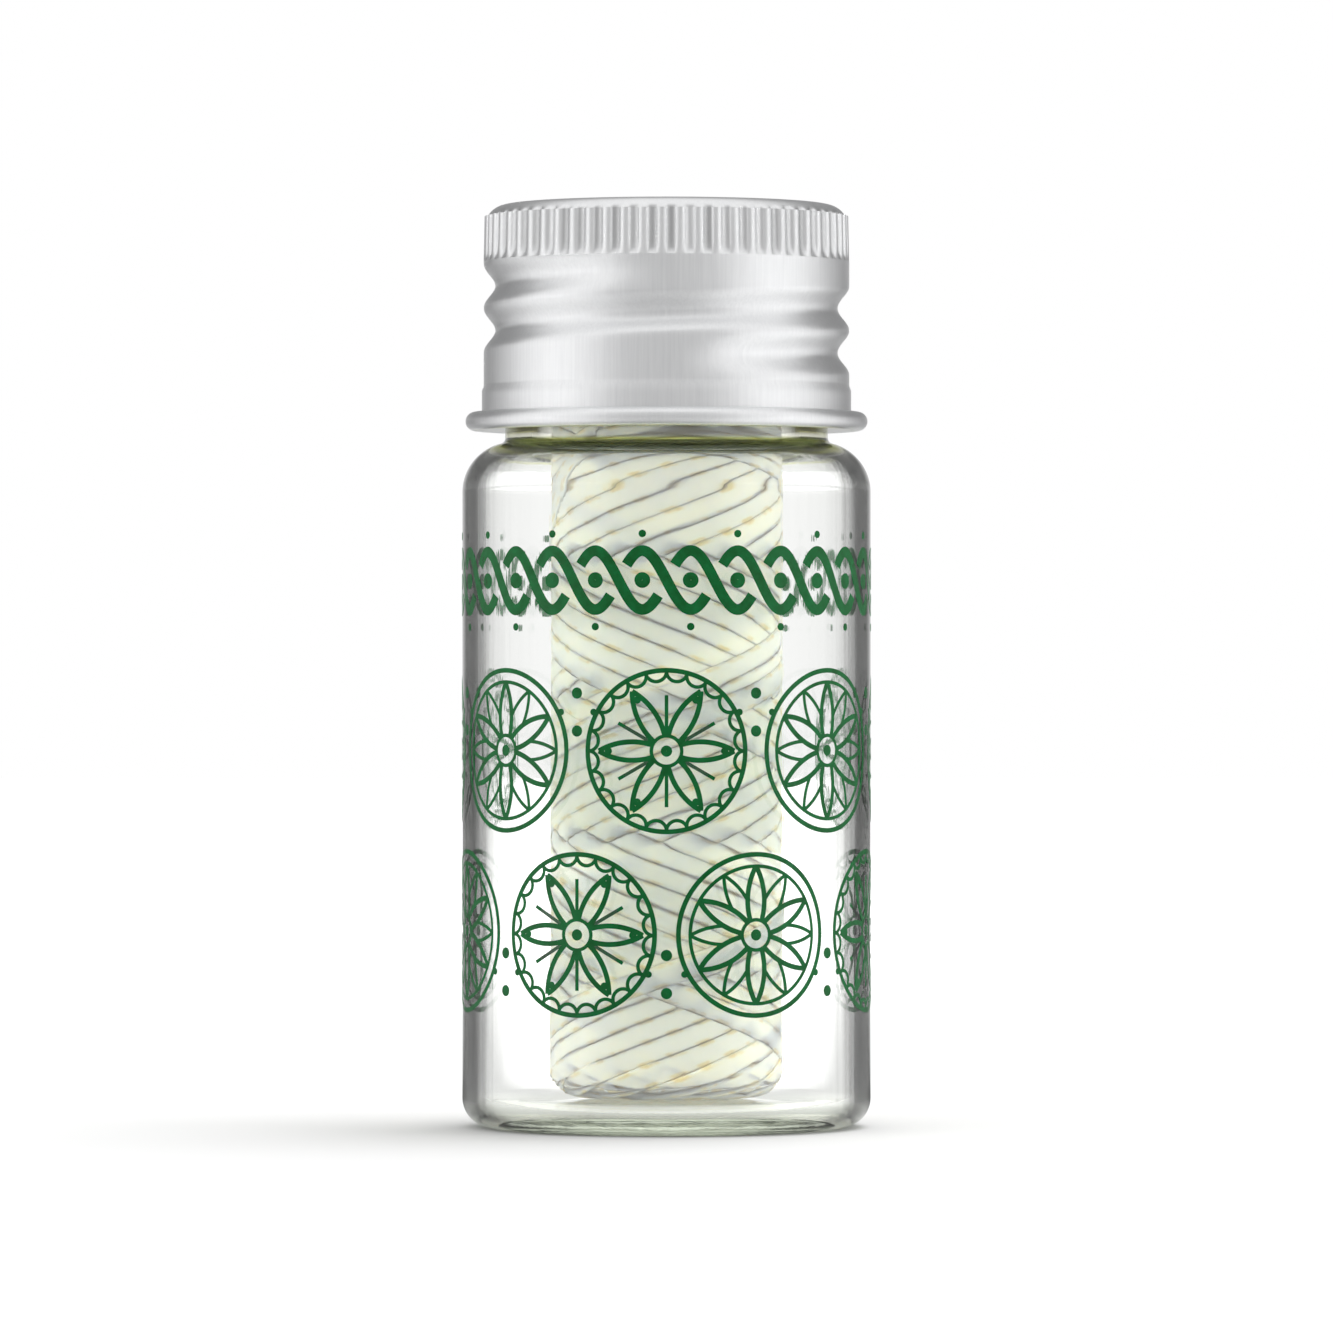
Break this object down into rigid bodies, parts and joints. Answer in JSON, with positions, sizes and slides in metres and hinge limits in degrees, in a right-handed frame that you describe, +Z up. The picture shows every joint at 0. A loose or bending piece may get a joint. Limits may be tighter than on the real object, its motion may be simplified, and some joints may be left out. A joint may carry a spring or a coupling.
{
  "type": "floss dispenser",
  "caption": "Round glass vial with a rolled aluminium screw cap, holding a loose bobbin of floss and a neck plug with a stamped cutter.",
  "frame": {"origin": "middle of the glass foot, on the surface that the vial stands on", "axes": "+Z up along the vial's axis to the cap, -Y towards the printed front"},
  "size_m": [0.022, 0.022, 0.0496],
  "materials": {
    "glass": "clear drawn soda-lime glass, faintly green where it is thick, with a fired green print",
    "aluminium": "satin rolled sheet with a fine upright grain",
    "foam": "white closed-cell foam",
    "silicone": "matt milky silicone",
    "steel": "stamped stainless sheet",
    "floss": "waxed off-white thread"
  },
  "bodies": {
    "vial": {"vial": "glass"},
    "bobbin": {"floss_core": "floss", "floss_winding": "floss"},
    "plug": {"neck_plug": "silicone", "cutter": "steel", "floss_lead": "floss"},
    "liner": {"cap_liner": "foam"},
    "cap": {"screw_cap": "aluminium"}
  },
  "joints": [
    {"name": "bobbin_spin", "type": "hinge", "parent": "vial", "child": "bobbin", "pos_m": [0, 0, 0.019], "axis": [0, 0, 1], "continuous": true},
    {"name": "plug_pull", "type": "slide", "parent": "vial", "child": "plug", "axis": [0, 0, 1], "range_m": [0, 0.02]},
    {"name": "cap_lift", "type": "slide", "parent": "plug", "child": "liner", "axis": [0, 0, 1], "range_m": [0, 0.016]},
    {"name": "cap_turn", "type": "hinge", "parent": "liner", "child": "cap", "pos_m": [0, 0, 0.044], "axis": [0, 0, 1], "range_deg": [0, 540]}
  ]
}
